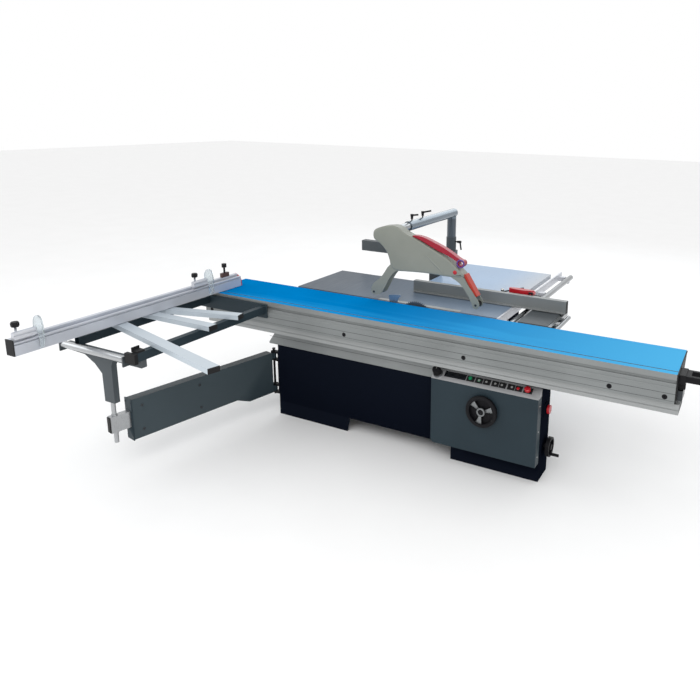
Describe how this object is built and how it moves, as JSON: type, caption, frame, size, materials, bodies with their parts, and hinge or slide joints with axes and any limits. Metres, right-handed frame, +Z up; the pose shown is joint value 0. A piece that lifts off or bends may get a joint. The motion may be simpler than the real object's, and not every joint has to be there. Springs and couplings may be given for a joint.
{
  "type": "sliding table panel saw",
  "caption": "Panel saw with long sliding table, outrigger frame and crosscut fence, rip fence, tilting blade unit, overhead guard and floor cabinet",
  "frame": {"origin": "centre of the four floor bolt holes, on the floor", "axes": "+X along the sliding table toward the operator's end, +Y from the sliding table toward the rip fence, +Z up"},
  "size_m": [3.482, 3.321, 1.4479],
  "materials": {
    "cabinet_paint": "satin",
    "slate_paint": "satin",
    "panel_paint": "satin",
    "extruded": "matte anodised",
    "fence_alu": "matte anodised",
    "film_blue": "gloss film",
    "black_plastic": "matte",
    "cast_table": "ground",
    "steel": "brushed",
    "chrome": "polished",
    "red_plastic": "gloss",
    "green_plastic": "gloss",
    "guard_shell": "satin",
    "clear": "clear",
    "motor_cast": "painted",
    "rubber": "matte",
    "frame_paint": "satin"
  },
  "bodies": {
    "machine": {"cabinet_shell": "cabinet_paint", "console_box": "slate_paint", "control_panel": "panel_paint", "support_beam": "extruded", "fixed_rail": "extruded", "main_table": "cast_table", "blade_insert": "extruded", "rear_extension_table": "cast_table", "front_extension_table": "frame_paint", "fence_rail_flat": "extruded", "fence_rail_round": "chrome", "trunnion_brackets": "motor_cast", "guard_stand": "frame_paint", "stand_beam": "frame_paint", "arm_hinge_bracket": "frame_paint"},
    "carriage": {"carriage_profile": "extruded", "carriage_film": "film_blue", "carriage_end_caps": "black_plastic", "push_handle": "black_plastic"},
    "cassette": {"roller_cassette": "steel"},
    "outrigger": {"outrigger_frame": "slate_paint", "support_bars": "fence_alu", "tee_leg": "frame_paint"},
    "roller": {"loading_roller": "steel"},
    "fence": {"crosscut_fence": "fence_alu", "fence_fittings": "black_plastic"},
    "stop_1": {"flip_stop_1_carrier": "black_plastic"},
    "fin_1": {"flip_stop_1_fin": "clear"},
    "stop_2": {"flip_stop_2_carrier": "black_plastic"},
    "fin_2": {"flip_stop_2_fin": "clear"},
    "arm": {"swing_arm": "slate_paint"},
    "arm_tube": {"telescopic_tube": "steel"},
    "rip_slide": {"rip_carrier": "motor_cast"},
    "rip_plate": {"rip_fence": "extruded"},
    "rip_lock": {"rip_handle": "red_plastic"},
    "rip_clamp": {"rip_lever": "black_plastic"},
    "cradle": {"saw_cradle": "motor_cast"},
    "scoring": {"scoring_blade": "steel"},
    "lift": {"arbor_unit": "motor_cast", "main_motor": "motor_cast", "riving_knife": "steel", "drive_belt": "rubber"},
    "spindle": {"saw_spindle": "steel", "saw_blade": "steel"},
    "pulley": {"motor_pulley": "steel"},
    "wheel_lift": {"lift_handwheel": "black_plastic"},
    "wheel_tilt": {"tilt_handwheel": "black_plastic"},
    "mast": {"guard_mast": "frame_paint"},
    "boom": {"guard_boom": "frame_paint"},
    "boom_lock": {"boom_lever_1": "black_plastic"},
    "boom_inner": {"guard_inner_tube": "steel"},
    "hood": {"guard_shell": "guard_shell", "guard_trim": "red_plastic"},
    "hood_wheel_front": {"guard_wheel_front": "black_plastic"},
    "hood_wheel_rear": {"guard_wheel_rear": "black_plastic"},
    "mast_lock": {"mast_lever": "black_plastic"},
    "knob": {"selector_knob": "black_plastic"},
    "start": {"start_button": "green_plastic"},
    "stop_front": {"emergency_stop_front": "red_plastic"},
    "stop_side": {"emergency_stop_side": "red_plastic"}
  },
  "joints": [
    {"name": "carriage_slide", "type": "slide", "parent": "machine", "child": "carriage", "axis": [1, 0, 0], "range_m": [-1.5, 1.5]},
    {"name": "cassette_slide", "type": "slide", "parent": "machine", "child": "cassette", "axis": [1, 0, 0], "range_m": [-0.75, 0.75]},
    {"name": "outrigger_slide", "type": "slide", "parent": "carriage", "child": "outrigger", "axis": [1, 0, 0], "range_m": [-0.04, 0.5]},
    {"name": "roller_spin", "type": "hinge", "parent": "outrigger", "child": "roller", "pos_m": [-1.141, -1.545, 0.778], "axis": [1, 0, 0], "continuous": true},
    {"name": "fence_pivot", "type": "hinge", "parent": "carriage", "child": "fence", "pos_m": [-1.21, -0.3, 0.862], "axis": [0, 0, 1], "range_deg": [0, 45]},
    {"name": "stop_1_slide", "type": "slide", "parent": "fence", "child": "stop_1", "axis": [0, 1, 0], "range_m": [-0.005, 1.05]},
    {"name": "stop_2_slide", "type": "slide", "parent": "fence", "child": "stop_2", "axis": [0, 1, 0], "range_m": [-1, 0.12]},
    {"name": "stop_1_flip", "type": "hinge", "parent": "stop_1", "child": "fin_1", "pos_m": [-1.196, -1.862, 0.975], "axis": [0, 1, 0], "range_deg": [-90, 0]},
    {"name": "stop_2_flip", "type": "hinge", "parent": "stop_2", "child": "fin_2", "pos_m": [-1.196, -0.65, 0.975], "axis": [0, 1, 0], "range_deg": [-90, 0]},
    {"name": "arm_swing", "type": "hinge", "parent": "machine", "child": "arm", "pos_m": [-0.795, -0.39, 0.3], "axis": [0, 0, 1], "range_deg": [-70, 35]},
    {"name": "arm_telescope", "type": "slide", "parent": "arm", "child": "arm_tube", "axis": [-0.2011, -0.9796, 0], "range_m": [-0.055, 0.3]},
    {"name": "rip_fence_travel", "type": "slide", "parent": "machine", "child": "rip_slide", "axis": [0, 1, 0], "range_m": [-0.25, 0.85]},
    {"name": "rip_fence_fore_aft", "type": "slide", "parent": "rip_slide", "child": "rip_plate", "axis": [1, 0, 0], "range_m": [-0.06, 0.45]},
    {"name": "rip_lock_turn", "type": "hinge", "parent": "rip_slide", "child": "rip_lock", "pos_m": [0.86, 0.31, 0.945], "axis": [0, 1, 0], "range_deg": [0, 60]},
    {"name": "rip_clamp_turn", "type": "hinge", "parent": "rip_slide", "child": "rip_clamp", "pos_m": [0.63, 0.35, 0.92], "axis": [0, 0, 1], "range_deg": [0, 80]},
    {"name": "blade_tilt", "type": "hinge", "parent": "machine", "child": "cradle", "pos_m": [0.2, -0.072, 0.858], "axis": [-1, 0, 0], "range_deg": [0, 45]},
    {"name": "blade_lift", "type": "slide", "parent": "cradle", "child": "lift", "axis": [0, 0, 1], "range_m": [-0.04, 0.04]},
    {"name": "blade_spin", "type": "hinge", "parent": "lift", "child": "spindle", "pos_m": [0.177, -0.072, 0.738], "axis": [0, 1, 0], "continuous": true},
    {"name": "motor_spin", "type": "hinge", "parent": "lift", "child": "pulley", "pos_m": [0.177, 0.045, 0.42], "axis": [0, 1, 0], "continuous": true},
    {"name": "scoring_spin", "type": "hinge", "parent": "cradle", "child": "scoring", "pos_m": [0.44, -0.072, 0.796], "axis": [0, 1, 0], "continuous": true},
    {"name": "lift_wheel_turn", "type": "hinge", "parent": "machine", "child": "wheel_lift", "pos_m": [0.841, -0.47, 0.411], "axis": [0, 1, 0], "range_deg": [-700, 790]},
    {"name": "tilt_wheel_turn", "type": "hinge", "parent": "machine", "child": "wheel_tilt", "pos_m": [1.2, -0.31, 0.195], "axis": [1, 0, 0], "range_deg": [0, 2160]},
    {"name": "mast_height", "type": "slide", "parent": "machine", "child": "mast", "axis": [0, 0, 1], "range_m": [0, 0.09]},
    {"name": "boom_swing", "type": "hinge", "parent": "mast", "child": "boom", "pos_m": [0.022, 0.792, 1.33], "axis": [0, 0, 1], "range_deg": [-90, 0]},
    {"name": "boom_lock_turn", "type": "hinge", "parent": "boom", "child": "boom_lock", "pos_m": [0.022, 0.14, 1.4], "axis": [0, 0, 1], "range_deg": [-90, 90]},
    {"name": "boom_reach", "type": "slide", "parent": "boom", "child": "boom_inner", "axis": [0, 1, 0], "range_m": [-0.15, 0.1]},
    {"name": "hood_pivot", "type": "hinge", "parent": "boom_inner", "child": "hood", "pos_m": [0.022, -0.072, 1.362], "axis": [0, -1, 0], "range_deg": [-2, 8]},
    {"name": "hood_wheel_front_spin", "type": "hinge", "parent": "hood", "child": "hood_wheel_front", "pos_m": [0.622, -0.072, 0.934], "axis": [0, 1, 0], "continuous": true},
    {"name": "hood_wheel_rear_spin", "type": "hinge", "parent": "hood", "child": "hood_wheel_rear", "pos_m": [-0.136, -0.072, 0.922], "axis": [0, 1, 0], "continuous": true},
    {"name": "mast_lock_turn", "type": "hinge", "parent": "machine", "child": "mast_lock", "pos_m": [0.06, 0.792, 1.14], "axis": [1, 0, 0], "range_deg": [-90, 90]},
    {"name": "selector_turn", "type": "hinge", "parent": "machine", "child": "knob", "pos_m": [0.528, -0.43921, 0.57127], "axis": [0, -0.5859, 0.8104], "range_deg": [-135, 135]},
    {"name": "start_press", "type": "slide", "parent": "machine", "child": "start", "axis": [0, 0.5859, -0.8104], "range_m": [0, 0.003], "stiffness_N_per_m": 600},
    {"name": "stop_front_press", "type": "slide", "parent": "machine", "child": "stop_front", "axis": [0, 0.5859, -0.8104], "range_m": [0, 0.005], "stiffness_N_per_m": 800},
    {"name": "stop_side_press", "type": "slide", "parent": "machine", "child": "stop_side", "axis": [-1, 0, 0], "range_m": [0, 0.005], "stiffness_N_per_m": 800}
  ],
  "couplings": [
    {"joint": "cassette_slide", "follows": "carriage_slide", "ratio": 0.5},
    {"joint": "motor_spin", "follows": "blade_spin", "ratio": 1.25},
    {"joint": "lift_wheel_turn", "follows": "blade_lift", "rad_per_m": 300},
    {"joint": "tilt_wheel_turn", "follows": "blade_tilt", "ratio": 48}
  ]
}
